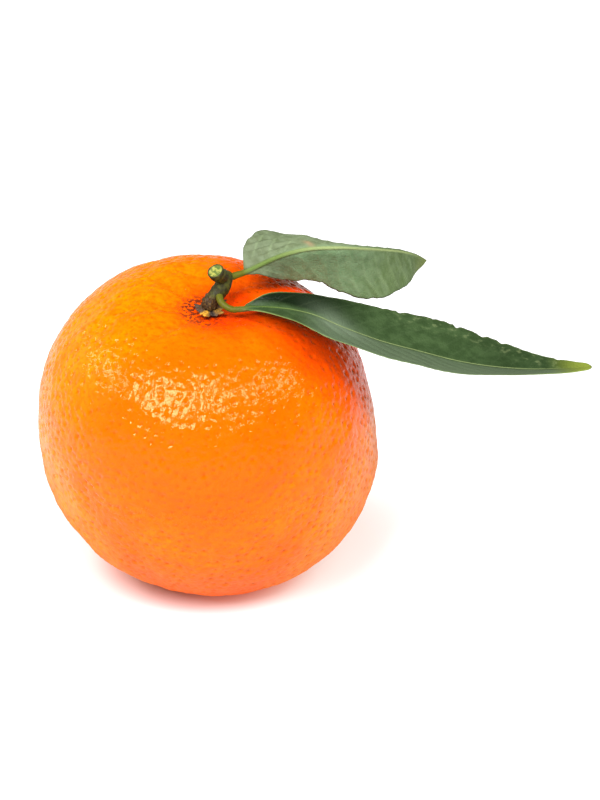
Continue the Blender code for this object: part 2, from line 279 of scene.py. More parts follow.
def put(tree: bpy.types.NodeTree, step: Step, *values: Any, **settings: Any) -> Any:
    """Adds a node to a tree, with its settings and links.

    Args:
        tree: The tree.
        step: What the node does.
        *values: What its inputs are, in the step's order.
        **settings: Settings beyond those of the step.

    Returns:
        The output that is read, or the node where the step names none.
    """
    kind, inputs, output, usual = step.value
    node = tree.nodes.new(kind)
    for name, setting in {**usual, **settings}.items():
        setattr(node, name, setting)
    wire(tree, node, dict(zip(inputs, values)))
    return node if output is None else node.outputs[output]


def bake(obj: bpy.types.Object) -> None:
    """Turns the object's modifiers into a plain mesh.

    Args:
        obj: The object.
    """
    bpy.context.view_layer.update()
    graph = bpy.context.evaluated_depsgraph_get()
    mesh = bpy.data.meshes.new_from_object(obj.evaluated_get(graph))
    obj.modifiers.clear()
    old = obj.data
    obj.data = mesh
    bpy.data.meshes.remove(old)
    mesh.shade_smooth()


def grow(obj: bpy.types.Object, tree: bpy.types.NodeTree, values: dict[str, Any]) -> None:
    """Runs a Geometry Nodes tree on an object and keeps the result as its mesh.

    Args:
        obj: The object.
        tree: The tree.
        values: The tree's inputs by name.
    """
    modifier = obj.modifiers.new(tree.name, "NODES")
    modifier.node_group = tree
    for item in tree.interface.items_tree:
        if item.in_out == "INPUT" and item.name in values:
            modifier[item.identifier] = values[item.name]
    bake(obj)


def new_tree(name: str, values: dict[str, Any]) -> tuple[bpy.types.NodeTree, Any]:
    """Starts a Geometry Nodes tree.

    Args:
        name: Its name.
        values: The value of each input besides the geometry, by its name.

    Returns:
        The tree, and its inputs.
    """
    tree = bpy.data.node_groups.new(name, "GeometryNodeTree")
    tree.interface.new_socket(name="Geometry", in_out="INPUT", socket_type="NodeSocketGeometry")
    for socket, value in values.items():
        kind = {float: "Float", int: "Int"}.get(type(value), "Material")
        tree.interface.new_socket(name=socket, in_out="INPUT", socket_type="NodeSocket" + kind)
    tree.interface.new_socket(name="Geometry", in_out="OUTPUT", socket_type="NodeSocketGeometry")
    return tree, put(tree, Step.GIVEN).outputs


def end_tree(tree: bpy.types.NodeTree, geometry: Any, height: Any, material: Any) -> bpy.types.NodeTree:
    """Ends a tree: raises the surface, makes it plain and dresses it.

    Args:
        tree: The tree.
        geometry: The surface.
        height: How far each corner is raised along its normal.
        material: The material.

    Returns:
        The tree.
    """
    offset = put(tree, Step.SCALE, put(tree, Step.NORMAL), height)
    plain = put(tree, Step.PLAIN, put(tree, Step.MOVED, geometry, offset))
    put(tree, Step.RESULT, put(tree, Step.DRESSED, plain, material))
    return tree


@dataclass(frozen=True)
class Relief:
    """Small pits or warts spread over a surface, on low swells and fine wrinkles.

    A spot whose height is below 0 is a pit, and the smallest one's size is over that of the largest. A swell
    and a wrinkle have a height and a width. The density is how many spots are tried on a square metre.
    """

    spacing: float
    density: float
    radius: float
    height: float
    smallest: float
    swell: tuple[float, float]
    wrinkle: tuple[float, float]
    seed: int

    def tree(self, values: dict[str, Any]) -> bpy.types.NodeTree:
        """Makes the tree that raises the relief.

        No spot is where the surface's attribute room is 0. Each corner keeps how deep it lies in its nearest
        spot, from 0 to 1, as the attribute spot.

        Args:
            values: The values of its inputs, with lengths in metres.

        Returns:
            The tree.
        """
        tree, given = new_tree("relief", values)
        add = partial(put, tree)
        surface = given["Geometry"]
        here = add(Step.POSITION)
        room = add(Step.KEPT, "room")
        spots = add(Step.SCATTER, surface, given["Spacing"], given["Density"], room, given["Seed"])
        sized = add(Step.KEEP, spots, "size", add(Step.RANDOM, given["Smallest"], 1.0, given["Seed"]))
        nearest = add(Step.NEAREST, sized, here)
        middle = add(Step.PLACE_AT, sized, here, nearest)
        size = add(Step.VALUE_AT, sized, add(Step.KEPT, "size"), nearest)
        share = add(Step.DIVIDE, add(Step.DISTANCE, here, middle), add(Step.MULTIPLY, given["Radius"], size))
        bowl = add(Step.SUBTRACT, 1.0, add(Step.POWER, share, 2.0))
        depth = add(Step.POWER, add(Step.MAXIMUM, bowl, 0.0), 2.0)
        height = add(Step.MULTIPLY, add(Step.MULTIPLY, depth, size), given["Height"])
        hills = []
        for name, detail in (("Swell", 1.0), ("Wrinkle", 1.5)):
            hill = add(Step.SUBTRACT, add(Step.NOISE, here, given[name + " Scale"], detail), 0.5)
            hills.append(add(Step.MULTIPLY, hill, given[name + " Height"]))
        height = add(Step.ADD, height, add(Step.ADD, *hills))
        return end_tree(tree, add(Step.KEEP, surface, "spot", depth), height, given["Material"])

    def spread(self, obj: bpy.types.Object, material: bpy.types.Material) -> None:
        """Raises the relief on an object.

        Args:
            obj: The object, whose mesh keeps the attribute room.
            material: Its material.
        """
        values = {
            "Spacing": self.spacing * MM,
            "Density": self.density,
            "Radius": self.radius * MM,
            "Height": self.height * MM,
            "Smallest": self.smallest,
            "Swell Height": self.swell[0] * MM,
            "Swell Scale": 1 / (self.swell[1] * MM),
            "Wrinkle Height": self.wrinkle[0] * MM,
            "Wrinkle Scale": 1 / (self.wrinkle[1] * MM),
            "Seed": self.seed,
            "Material": material,
        }
        grow(obj, self.tree(values), values)


@dataclass(frozen=True)
class Veins:
    """A leaf's side veins, raised on its underside, and the blade quilted between them.

    Slant and bow are how far a vein runs forward for the way outwards and for its square. Stagger and wander
    are over the spacing, and wander_scale is how often a vein strays in a metre.
    """

    spacing: float = 3.9
    slant: float = 0.75
    bow: float = 0.03
    width: float = 0.24
    height: float = 0.06
    quilt: float = 0.035
    stagger: float = 0.45
    wander: float = 0.55
    wander_scale: float = 120.0

    def tree(self, values: dict[str, Any]) -> bpy.types.NodeTree:
        """Makes the tree that raises the veins.

        It reads the leaf's attributes along and across, in metres, and fade and upper. Each corner keeps how
        near it lies to a vein, from 0 to 1, as the attribute vein.

        Args:
            values: The values of its inputs, with lengths in metres.

        Returns:
            The tree.
        """
        tree, given = new_tree("veins", values)
        add = partial(put, tree)
        along, across, fade, upper = (add(Step.KEPT, name) for name in ("along", "across", "fade", "upper"))
        out = add(Step.ABSOLUTE, across)
        lean = add(Step.MULTIPLY, out, given["Slant"])
        bend = add(Step.MULTIPLY, add(Step.POWER, out, 2.0), given["Bow"])
        behind = add(Step.SUBTRACT, add(Step.SUBTRACT, along, lean), bend)
        field = add(Step.SUBTRACT, add(Step.NOISE, add(Step.POSITION), self.wander_scale, 0.0), 0.5)
        half = add(Step.MULTIPLY, add(Step.ABOVE, across, 0.0), self.stagger)
        beat = add(Step.ADD, add(Step.DIVIDE, behind, given["Spacing"]), half)
        beat = add(Step.ADD, beat, add(Step.MULTIPLY, field, self.wander))
        share = add(Step.ABSOLUTE, add(Step.SUBTRACT, add(Step.FRACTION, beat), 0.5))
        near = add(Step.DIVIDE, add(Step.MULTIPLY, share, given["Spacing"]), given["Width"])
        ridge = add(Step.EXPONENT, add(Step.MULTIPLY, add(Step.POWER, near, 2.0), -1.0))
        ridge = add(Step.MULTIPLY, ridge, fade)
        hill = add(Step.MULTIPLY, add(Step.COSINE, add(Step.MULTIPLY, share, 2 * math.pi)), fade)
        hill = add(Step.MULTIPLY, hill, given["Quilt Height"])
        side = add(Step.SUBTRACT, 1.0, add(Step.MULTIPLY, upper, 2.0))
        height = add(Step.ADD, add(Step.MULTIPLY, ridge, given["Vein Height"]), hill)
        height = add(Step.MULTIPLY, height, side)
        return end_tree(tree, add(Step.KEEP, given["Geometry"], "vein", ridge), height, given["Material"])

    def spread(self, obj: bpy.types.Object, material: bpy.types.Material) -> None:
        """Raises the veins on a leaf.

        Args:
            obj: The leaf, whose mesh keeps the attributes that the tree reads.
            material: Its material.
        """
        values = {
            "Spacing": self.spacing * MM,
            "Slant": self.slant,
            "Bow": self.bow / MM,
            "Width": self.width * MM,
            "Vein Height": self.height * MM,
            "Quilt Height": self.quilt * MM,
            "Material": material,
        }
        grow(obj, self.tree(values), values)


@dataclass
class Paint:
    """A material in the making, on a Principled shader, with the patterns that the finishes share."""

    name: str

    def __post_init__(self) -> None:
        """Starts the material with its shader and the places on the object."""
        self.material = bpy.data.materials.new(self.name)
        self.material.use_nodes = True
        self.tree = self.material.node_tree
        self.add = partial(put, self.tree)
        self.place = self.add(Step.PLACE)

    def clouds(
        self, size: float, detail: float = 2.0, stretch: Point = (1.0, 1.0, 1.0), turn: float = 0.0
    ) -> Any:
        """Adds a pattern of soft patches.

        Args:
            size: How wide they are, in millimetres.
            detail: How many finer layers they have.
            stretch: How much longer they are along x, y and z.
            turn: How far they are turned about y after that, in degrees.

        Returns:
            Its value, from 0 to 1.
        """
        scale = tuple(size * MM * s for s in stretch)
        placed = self.add(Step.MAPPED, self.place, (0.0, math.radians(turn), 0.0), scale)
        return self.add(Step.NOISE, placed, 1.0, detail)

    def cells(self, size: float, wobble: float = 0.0) -> Any:
        """Adds a pattern of cells.

        Args:
            size: How wide a cell is, in millimetres.
            wobble: How far its edges wander, in millimetres.

        Returns:
            The distance from the nearest edge, over the size of a cell.
        """
        scale = 1 / (size * MM)
        place = self.place
        if wobble:
            drift = self.add(Step.NOISE_COLOUR, place, scale, 2.0)
            place = self.add(Step.DRIFT, drift, (wobble * MM,) * 3, place)
        return self.add(Step.CELLS, place, scale)

    def layers(self, base: Any, *coats: tuple[Any, Any]) -> Any:
        """Lays coats of colour on a base.

        Args:
            base: A colour code, or an output.
            *coats: How much of each coat there is, and its colour.

        Returns:
            The colour of them all.
        """
        for share, colour in coats:
            base = self.add(Step.BLEND, share, base, colour)
        return base

    def finish(self, sockets: dict[str, Any]) -> bpy.types.Material:
        """Sets and links the shader's own sockets, and hands over the material."""
        wire(self.tree, self.tree.nodes["Principled BSDF"], sockets)
        return self.material


@dataclass(frozen=True)
class RindFinish:
    """Citrus rind: a living skin under a thin coat of wax, pitted over its oil glands.

    The low sides are painted a lighter yellow, which is painted light; the pit floors are darker, with the
    glands' own colour and painted shade in the pits; and tint is the colour of its gloss.
    """

    warm: str = "#E06300"
    deep: str = "#E05B00"
    painted_light_gold: str = "#E07100"
    front: str = "#DC5200"
    painted_light_flank: str = "#E27C00"
    mottle: str = "#DA4C00"
    blush_and_shade: str = "#CD3600"
    gland_and_pit_shade: str = "#964200"
    russet: str = "#521E0E"
    tint: str = "#FFDA9A"

    def material(self) -> bpy.types.Material:
        """Makes the rind's material.

        Returns:
            The material.
        """
        # To the eye the wax gives small hard glints, broken up by the pits, over a clear orange. Low down it
        # is rubbed dull. The wax grain is about 0.1 mm in the real rind, and 0.8 mm here, so that it shows.
        paint = Paint("waxed_citrus_rind")
        add = paint.add
        clouds = paint.clouds
        names = ("spot", "painted_leaf_shade", "russet")
        spot, painted_leaf_shade, russet = (add(Step.ATTRIBUTE, attribute_name=name) for name in names)
        left, front, up, leafward, across, low = (
            add(Step.ALONG, paint.place, per_mm(*way))
            for way in (
                (-0.75, 0.45, 0.45),
                (0.0, -0.92, 0.38),
                (0.0, 0.0, 1.0),
                (0.65, 0.0, 0.76),
                (1.0, 0.0, 0.0),
                (0.0, 0.0, 0.6),
            )
        )
        out = add(Step.SUBTRACT, add(Step.ABSOLUTE, across), low)
        stain = add(Step.MULTIPLY, russet, add(Step.RISE, clouds(0.6, 3.0), 0.44, 0.56))
        tone = paint.layers(
            self.warm,
            (add(Step.RISE, clouds(16.0), 0.35, 0.65), self.deep),
            # Painted light: the upper left is painted yellower, where the light falls brighter.
            (add(Step.RISE, left, 20.0, 42.0), self.painted_light_gold),
            (add(Step.RISE, front, 35.0, 41.0), self.front),
            # Painted light: both low sides are painted a lighter yellow.
            (add(Step.RISE, out, 5.0, 13.0, 0.0, 0.85), self.painted_light_flank),
            (add(Step.RISE, clouds(2.3, 3.0), 0.42, 0.62, 0.0, 0.35), self.mottle),
            (add(Step.RISE, clouds(0.8), 0.5, 0.62, 0.0, 0.4), self.mottle),
            # Redder and darker on the shoulder towards the leaves, partly the rind's own colour and partly
            # painted shade; beside the stem it is painted shade from the leaves.
            (add(Step.MAXIMUM, add(Step.RISE, leafward, 44.0, 54.0), painted_leaf_shade), self.blush_and_shade),
            # The pit floors are darker: the glands' own colour, and painted shade in the pits.
            (add(Step.RISE, spot, 0.35, 1.0, 0.0, 0.62), self.gland_and_pit_shade),
            (stain, self.russet),
        )
        gloss = add(Step.RISE, clouds(0.9), 0.3, 0.7, 0.12, 0.19)
        for duller in (
            add(Step.MULTIPLY, stain, 0.35),
            add(Step.RISE, up, 12.0, 36.0, 0.3, 0.0),
            add(Step.RISE, add(Step.RIM, 0.5), 0.45, 1.0, 0.0, 0.2),
        ):
            gloss = add(Step.ADD, gloss, duller)
        creases = add(Step.BUMP, add(Step.RISE, paint.cells(1.3, 0.6), 0.0, 0.2), 0.014 * MM)
        return paint.finish(
            {
                "Base Color": tone,
                "Roughness": gloss,
                "IOR": 1.46,
                "Specular IOR Level": 0.35,
                "Specular Tint": self.tint,
                "Normal": add(Step.BUMP, clouds(0.85, 1.0), 0.09 * MM, creases),
            }
        )


@dataclass(frozen=True)
class CalyxFinish:
    """Dried sepals: leaf tissue that has shrunk and turned to cork on the fruit."""

    brown: str = "#432B12"
    straw: str = "#C08A1A"
    olive: str = "#453A10"
    dark: str = "#170C03"

    def material(self) -> bpy.types.Material:
        """Makes the calyx's material.

        Returns:
            The material.
        """
        # To the eye it is dry and papery, without gloss. The cracks are about 0.1 mm in the real calyx, and
        # 0.3 mm here, so that they show.
        paint = Paint("dried_sepals")
        add = paint.add
        ripe, hollow = (add(Step.ATTRIBUTE, attribute_name=name) for name in ("ripe", "hollow"))
        tone = paint.layers(
            self.brown,
            (ripe, self.straw),
            (add(Step.RISE, paint.clouds(1.1), 0.5, 0.66, 0.0, 0.7), self.olive),
            (add(Step.RISE, paint.clouds(0.35, 3.0), 0.5, 0.66, 0.0, 0.7), self.dark),
            # Painted shade: the gap between two sepals at the front is painted nearly black.
            (hollow, self.dark),
        )
        grain = add(Step.BUMP, paint.clouds(0.25, 3.0), 0.05 * MM)
        return paint.finish({"Base Color": tone, "Roughness": 0.78, "Normal": grain})


@dataclass(frozen=True)
class TwigFinish:
    """Citrus bark: green young bark, brown and corky at the foot, cut with shears at the end."""

    green: str = "#222104"
    light: str = "#40420C"
    cork: str = "#281804"
    pale_cork: str = "#4F3A18"
    wood: str = "#8A8A3D"
    pith: str = "#475720"

    def material(self) -> bpy.types.Material:
        """Makes the twig's material.

        Returns:
            The material.
        """
        # To the eye the bark is satin at best, rough at the foot, and the cut is moist and pale. The bark's
        # fibres are about 0.1 mm wide, and drawn 0.3 mm wide, so that they show.
        paint = Paint("citrus_bark")
        add = paint.add
        clouds = paint.clouds
        foot, spot, cut = (add(Step.ATTRIBUTE, attribute_name=name) for name in ("cork", "spot", "cut"))
        corky = paint.layers(self.cork, (add(Step.RISE, clouds(0.4, 3.0), 0.45, 0.65), self.pale_cork))
        fresh = paint.layers(self.wood, (add(Step.RISE, clouds(0.6), 0.4, 0.6), self.pith))
        tone = paint.layers(
            self.green,
            (add(Step.RISE, clouds(1.2), 0.4, 0.65), self.light),
            (foot, corky),
            (add(Step.MULTIPLY, spot, 0.5), self.pale_cork),
            (cut, fresh),
        )
        grain = add(Step.BUMP, clouds(0.3, 3.0), 0.05 * MM)
        return paint.finish(
            {"Base Color": tone, "Roughness": 0.6, "IOR": 1.45, "Specular IOR Level": 0.25, "Normal": grain}
        )


@dataclass(frozen=True)
class LeafFinish:
    """A citrus leaf: a skin of wax above, a matt skin full of pores below, and fibre in the rib and veins.

    The pale colour on the near half and in a round area is a painted sheen, and stain is the rust-coloured
    spot.
    """

    name: str
    above: str = "#2A3B1F"
    above_light: str = "#354728"
    shaded: str = "#0A1507"
    bloom: str = "#5B6952"
    below: str = "#596046"
    below_back: str = "#6A7755"
    below_front: str = "#76956A"
    below_far: str = "#4F6138"
    streak_dark: str = "#3B472B"
    streak_light: str = "#77866A"
    streak_share: float = 0.22
    rib: str = "#52642D"
    rib_far: str = "#808D5B"
    vein: str = "#82936A"
    stalk: str = "#4C4D11"
    margin: str = "#6F8046"
    tip: str = "#6A752B"
    scar: str = "#7E875B"
    stain: str = "#9A7E5E"
    roughness: float = 0.38

    def material(self) -> bpy.types.Material:
        """Makes the leaf's material.

        Returns:
            The material.
        """
        # To the eye the wax gives the upper side a broad soft sheen, partly a painted sheen in its colour,
        # and the underside is matt and greyer.
        # The net of small veins has meshes of about 0.5 mm, and is drawn with 1.1 mm, so that it shows.
        paint = Paint(self.name)
        add = paint.add
        clouds = paint.clouds
        names = "along across upper shaded bloom vein scars stain rib margin tip stalk"
        along, across, upper, shaded, bloom, vein, scars, stain, rib, margin, tip, stalk = (
            add(Step.ATTRIBUTE, attribute_name=name) for name in names.split()
        )
        mottle = add(Step.RISE, clouds(2.2, 4.0), 0.35, 0.65)
        light = paint.layers(self.above, (mottle, self.above_light))
        above = paint.layers(light, (shaded, self.shaded), (bloom, self.bloom))
        # Painted light: past its base the underside is painted lighter and greener where it hangs in shade
        # over the fruit, most on its front half. Towards the tip it is darker.
        front = add(Step.RISE, across, -1.5 * MM, 1.5 * MM, 1.0, 0.0)
        halves = paint.layers(self.below_back, (front, self.below_front))
        streaks = add(Step.RISE, clouds(1.2, 3.0, (1.0, 1.0, 4.0), -33.0), 0.32, 0.68)
        below = paint.layers(
            self.below,
            (add(Step.RISE, along, 2 * MM, 14 * MM), halves),
            (add(Step.RISE, along, 20 * MM, 36 * MM), self.below_far),
            (add(Step.MULTIPLY, mottle, 0.25), self.above_light),
            (self.streak_share, paint.layers(self.streak_dark, (streaks, self.streak_light))),
        )
        specks = add(Step.RISE, clouds(1.1, 3.0), 0.54, 0.7, 0.0, 0.26)
        tone = paint.layers(
            below,
            (upper, above),
            (add(Step.MULTIPLY, vein, add(Step.RISE, upper, 0.0, 1.0, 0.25, 0.03)), self.vein),
            (add(Step.MULTIPLY, scars, specks), self.scar),
            (stain, self.stain),
            (rib, paint.layers(self.rib, (add(Step.RISE, along, 4 * MM, 18 * MM), self.rib_far))),
            (margin, self.margin),
            (tip, self.tip),
            (stalk, self.stalk),
        )
        net = add(Step.BUMP, add(Step.RISE, paint.cells(1.1), 0.0, 0.18), 0.03 * MM)
        return paint.finish(
            {
                "Base Color": tone,
                "Roughness": add(Step.RISE, upper, 0.0, 1.0, self.roughness + 0.18, self.roughness),
                "IOR": 1.45,
                "Specular IOR Level": 0.10,
                "Normal": add(Step.BUMP, clouds(0.35), 0.03 * MM, net),
            }
        )


def ball_grid(cells: int) -> tuple[np.ndarray, np.ndarray]:
    """Cuts a cube's faces into a grid and blows it up into a ball.

    Args:
        cells: How many cells each edge of the cube has.

    Returns:
        The directions of the corners, one a row, and the corners of each square face.
    """
    steps = np.tan(np.pi / 4 * np.linspace(-1, 1, cells + 1))
    u, v = np.meshgrid(steps, steps, indexing="ij")
    one = np.ones_like(u)
    sides = ((one, u, v), (-one, v, u), (v, one, u), (u, -one, v), (u, v, one), (v, u, -one))
    every = np.concatenate([np.stack(side, -1).reshape(-1, 3) for side in sides])
    _, first, number = np.unique(every.round(7), axis=0, return_index=True, return_inverse=True)
    corner = np.arange((cells + 1) ** 2).reshape(cells + 1, cells + 1)
    square = np.stack([corner[:-1, :-1], corner[1:, :-1], corner[1:, 1:], corner[:-1, 1:]], -1).reshape(-1, 4)
    faces = np.concatenate([square + k * corner.size for k in range(len(sides))])
    return unit(every[first]), number.ravel()[faces]


def loft(rows: np.ndarray) -> list[list[int]]:
    """Joins closed rings of points into a closed skin.

    Args:
        rows: The rings, one after another, as rings by points by three.

    Returns:
        The faces, with one at each end.
    """
    rings, count = rows.shape[:2]
    near = np.arange(rings * count).reshape(rings, count)
    turned = np.roll(near, -1, axis=1)
    faces = np.stack([near[:-1], near[1:], turned[1:], turned[:-1]], -1).reshape(-1, 4).tolist()
    return faces + [near[0].tolist(), near[-1][::-1].tolist()]


def ringed(near: np.ndarray, far: np.ndarray) -> np.ndarray:
    """Rings of a leaf: the rows of its near side, and back along those of its far side."""
    return np.concatenate([near, far[:, -2:0:-1]], axis=1)


@dataclass
class Fruit:
    """The fruit in its rind: a flattened ball with full shoulders, its stem end leaning forward.

    Flatness is pole to pole over the width, and a fullness of 2 is an ellipse. The furrows and creases run
    out of the basin, deepest at their radius. A swell is the way to a hill or a hollow, its height, and its
    reach in degrees. Real oil glands lie about 1 mm apart, and these a little more, so that they show.
    """

    width: float = 64.6
    flatness: float = 0.92
    fullness: float = 2.4
    lean: float = 10.0
    lopsidedness: float = 0.027
    centre_height: float = 29.7
    stem_spot: tuple[float, float] = (1.6, -1.9)
    basin_depth: float = 2.9
    basin_radius: float = 9.0
    furrow_count: int = 9
    furrow_depth: float = 0.42
    furrow_radius: float = 11.0
    furrow_reach: float = 5.0
    crease_count: int = 17
    crease_share: float = 0.45
    crease_radius: float = 9.0
    crease_reach: float = 4.5
    blossom_depth: float = 0.9
    blossom_radius: float = 3.0
    swells: tuple[tuple[Point, float, float], ...] = (
        ((0.97, 0.15, 0.21), -0.7, 15.0),
        ((-0.87, 0.29, 0.41), -0.7, 15.0),
        ((-0.17, 0.57, 0.81), 0.5, 15.0),
        ((0.97, -0.15, -0.21), 0.4, 12.0),
        ((-0.77, -0.37, -0.53), -0.3, 12.0),
    )
    sag_spot: tuple[float, float] = (-1.5, 6.0)
    sag_depth: float = 1.7
    sag_reach: float = 9.0
    bare_radius: float = 3.6
    cells: int = 127
    relief: Relief = Relief(1.6, 8e6, 0.84, -0.338, 0.4, swell=(0.8, 6.3), wrinkle=(0.28, 1.15), seed=5)

    def surface(self, directions: np.ndarray) -> np.ndarray:
        """Finds the smooth peel.

        Args:
            directions: Directions from the fruit's middle in its own frame, one a row.

        Returns:
            Where the peel meets each, in the fruit's own frame.
        """
        radius = self.width / 2
        across = np.linalg.norm(directions[:, :2], axis=1)
        upright = directions[:, 2]
        reach = (across / radius) ** self.fullness
        reach += (np.abs(upright) / (radius * self.flatness)) ** self.fullness
        points = directions * (reach ** (-1 / self.fullness))[:, None]
        top = upright > 0
        from_stem = points[:, :2] - self.stem_spot
        distance = np.linalg.norm(from_stem, axis=1)
        around = np.arctan2(from_stem[:, 1], from_stem[:, 0])
        wander = 0.6 * np.sin(2 * around + 0.8) + 0.4 * np.sin(3 * around)
        furrow = 0.5 - 0.5 * np.cos(self.furrow_count * around + wander)
        furrow = furrow * bump(distance - self.furrow_radius, self.furrow_reach)
        crease = 0.5 - 0.5 * np.cos(self.crease_count * around + 3 * np.sin(2 * around) + 0.3 * distance)
        furrow += self.crease_share * crease * bump(distance - self.crease_radius, self.crease_reach)
        below = np.linalg.norm(points[:, :2], axis=1)
        points[:, 2] -= np.where(top, self.basin_depth * bump(distance, self.basin_radius), 0)
        points[:, 2] += np.where(top, 0, self.blossom_depth * bump(below, self.blossom_radius))
        points -= directions * np.where(top, self.furrow_depth * furrow, 0)[:, None]
        for towards, height, spread in self.swells:
            cosine = np.clip(directions @ unit(np.array(towards)), -1, 1)
            points += directions * (height * bump(np.arccos(cosine), math.radians(spread)))[:, None]
        x, z = points[:, 0].copy(), points[:, 2].copy()
        points[:, 0] -= self.lopsidedness * z
        points[:, 2] -= self.lopsidedness * x
        return points

    def to_world(self, points: np.ndarray) -> np.ndarray:
        """The places of points that are given in the fruit's own frame."""
        turn = np.array(Matrix.Rotation(math.radians(self.lean), 3, "X"))
        return points @ turn.T + (0, 0, self.centre_height)

    def settled(self, points: np.ndarray) -> np.ndarray:
        """Lets the underside sag and rest flat on the floor.

        Args:
            points: The peel's points, in the world.

        Returns:
            Where they lie then.
        """
        away = np.linalg.norm(points[:, :2] - self.sag_spot, axis=1)
        sag = np.where(points[:, 2] < self.centre_height, self.sag_depth * bump(away, self.sag_reach), 0)
        return np.column_stack([points[:, :2], np.maximum(points[:, 2] - sag, 0)])

    def basin(self, places: np.ndarray) -> np.ndarray:
        """Finds the peel over places in the stem's basin.

        Args:
            places: The x and y of each place in the fruit's own frame, one a row.

        Returns:
            The points of the peel there.
        """
        aim = np.column_stack([places, np.full(len(places), self.width / 2 * self.flatness)])
        for _ in range(12):
            found = self.surface(unit(aim))
            aim[:, :2] += places - found[:, :2]
        return found

    def stem_place(self) -> np.ndarray:
        """The middle of the stem's basin on the peel, in the fruit's own frame."""
        return np.array(self.stem_spot) - (self.lopsidedness * self.width / 2 * self.flatness, 0)

    def marks(self, points: np.ndarray, top: np.ndarray) -> dict[str, np.ndarray]:
        """Works out where the rind has glands, where it is brown round the stem, and where shade from the
        leaves is painted beside the stem.

        Args:
            points: The peel's points in the fruit's own frame.
            top: Whether each is on the stem's side.

        Returns:
            The rind's attributes by name.
        """
        from_stem = points[:, :2] - self.stem_place()
        distance = np.linalg.norm(from_stem, axis=1)
        around = np.degrees(np.arctan2(from_stem[:, 1], from_stem[:, 0]))
        sector = bump(around % 360 - 165, 65) + 0.5 * bump(around % 360 - 265, 40)
        web = bump(distance - 4.2, 1.8) * sector + bump(distance, 3.3)
        # Painted shade: beside the stem, towards the leaves whose shade falls there, the rind is painted
        # redder and darker.
        from_shade_middle = np.linalg.norm(from_stem - (4.0, 0.5), axis=1)
        return {
            "room": np.where(top & (distance < self.bare_radius), 0.0, 1.0),
            "russet": np.where(top, np.clip(web, 0, 1), 0),
            "painted_leaf_shade": np.where(top, np.clip(1.5 * bump(from_shade_middle, 7.3), 0, 1), 0),
        }

    def build(self) -> bpy.types.Object:
        """Makes the rind, pitted and dressed.

        Returns:
            The rind.
        """
        directions, faces = ball_grid(self.cells)
        points = self.surface(directions)
        obj = new_object("rind", self.settled(self.to_world(points)), faces.tolist())
        store(obj.data, self.marks(points, directions[:, 2] > 0))
        self.relief.spread(obj, RindFinish().material())
        places = read(obj.data, "vertices", "co") / MM
        places[:, 2] = np.maximum(places[:, 2], 0)
        move_to(obj.data, places)
        return obj


@dataclass
class Calyx:
    """The dried calyx: a button drawn out into five short sepals, lying along the basin."""

    fruit: Fruit
    sepals: int = 5
    sepal_length: float = 1.3
    sepal_lift: float = 0.7
    sharpness: float = 1.4
    radius: float = 2.2
    thickness: float = 0.9
    around_cells: int = 180
    across_cells: int = 56

    def build(self) -> bpy.types.Object:
        """Makes the calyx, dressed.

        Returns:
            The calyx.
        """
        around = np.linspace(0, 2 * np.pi, self.around_cells, endpoint=False)[None, :]
        down = np.linspace(0.02, np.pi - 0.02, self.across_cells)[:, None]
        across = np.sin(down) * np.ones_like(around)
        upright = np.cos(down) * np.ones_like(around)
        around = around * np.ones_like(across)
        lobe = (0.5 + 0.5 * np.cos(self.sepals * around - 2.7 + 0.3 * np.sin(around))) ** self.sharpness
        lobe *= 1 - 0.6 * bump(around - np.pi, 0.6)
        ragged = 1 + 0.07 * np.sin(11 * around + 1.3) * across**3 + 0.05 * np.sin(23 * around) * across**4
        out = (self.radius + self.sepal_length * lobe) * across * ragged
        places = np.stack([out * np.cos(around), out * np.sin(around)], -1).reshape(-1, 2)
        peel = self.fruit.basin(places + self.fruit.stem_place())
        ridge = 0.10 * np.cos(15 * around + 2 * np.sin(3 * around)) * across * (upright > 0)
        lift = PIECE_GAP + 0.5 * self.thickness * (1 + upright) + self.sepal_lift * lobe * across**3 + ridge
        points = self.fruit.to_world(peel + np.column_stack([np.zeros((lift.size, 2)), lift.ravel()]))
        rows = points.reshape(self.across_cells, self.around_cells, 3)
        obj = new_object("calyx_sepals", points, loft(rows))
        angles = np.degrees(around.ravel()) % 360
        ripe = 1.3 * beside(angles, 250, 18) + 0.8 * beside(angles, 335, 24)
        # The hollow mark is painted shade, dark in the gap between two sepals.
        store(obj.data, {"ripe": ripe, "hollow": beside(angles, 287, 16)})
        obj.data.materials.append(CalyxFinish().material())
        return obj


